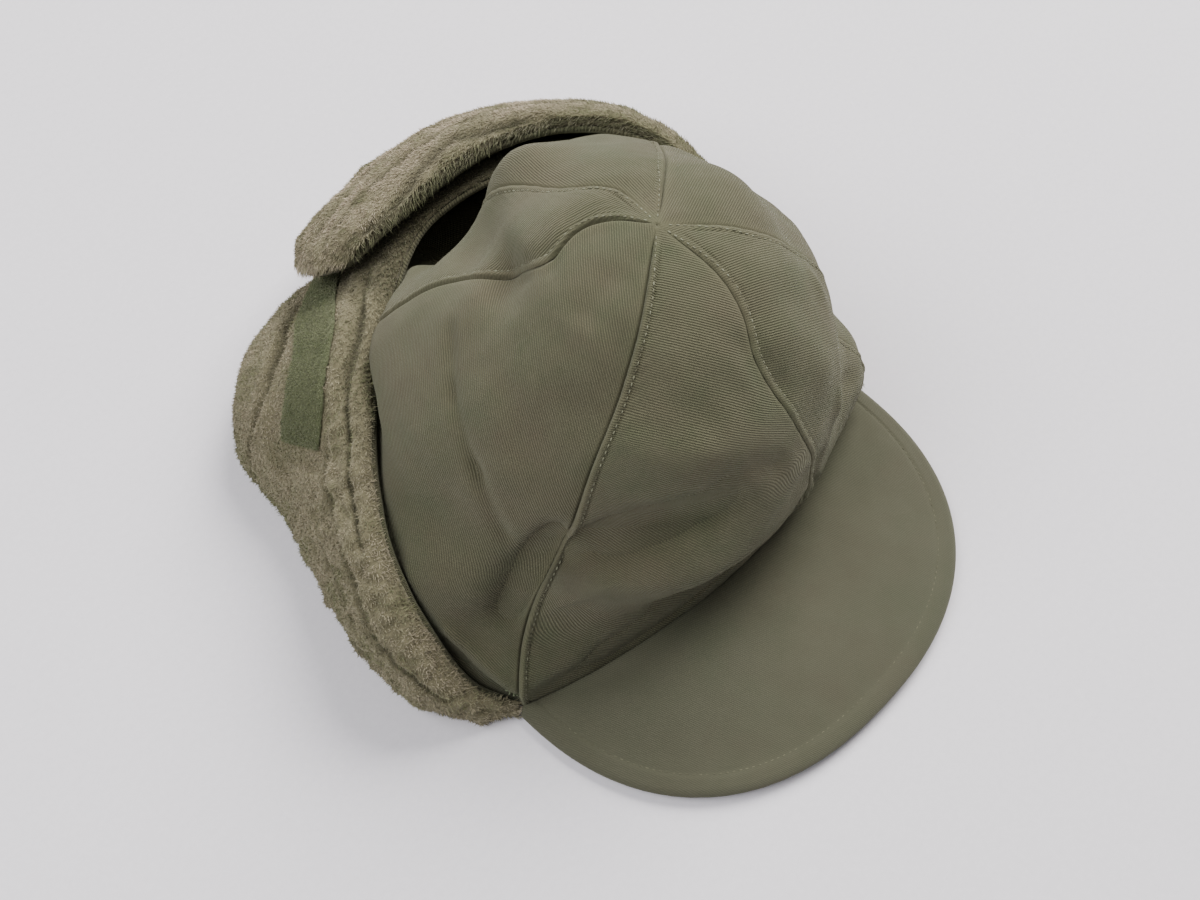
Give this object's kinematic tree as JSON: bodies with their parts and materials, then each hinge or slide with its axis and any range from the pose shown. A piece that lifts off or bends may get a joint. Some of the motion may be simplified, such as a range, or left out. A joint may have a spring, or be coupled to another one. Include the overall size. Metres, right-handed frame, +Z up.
{
  "type": "earflap cap",
  "caption": "Soft cloth cap with a panelled crown, a stitched peak and plush-faced ear flaps folded up and lapped at the back.",
  "frame": {"origin": "centre of the bounding box's lowest face: the plane of the hem on which the cap lies", "axes": "+Z up, the peak points along -Y, +X is the wearer's left"},
  "size_m": [0.2077, 0.262, 0.117],
  "materials": {
    "crown_twill": "matt olive cotton twill with mottled brown and green wales",
    "peak_twill": "smooth olive twill over a soft stiffener, one row of edge stitching",
    "flap_twill": "matt olive cotton twill",
    "plush": "khaki olive pile plush, brushed and clumped",
    "loop_tape": "green brushed loop tape",
    "hook_tape": "green hook tape"
  },
  "bodies": {
    "root": {"crown_front_right": "crown_twill", "crown_front_left": "crown_twill", "crown_side_left": "crown_twill", "crown_back_left": "crown_twill", "crown_back_right": "crown_twill", "crown_side_right": "crown_twill", "peak": "peak_twill", "earflap_right_shell": "flap_twill", "earflap_right_pile": "plush", "earflap_left_shell": "flap_twill", "earflap_left_pile": "plush", "loop_strip": "loop_tape", "hook_strip": "hook_tape"}
  },
  "joints": []
}
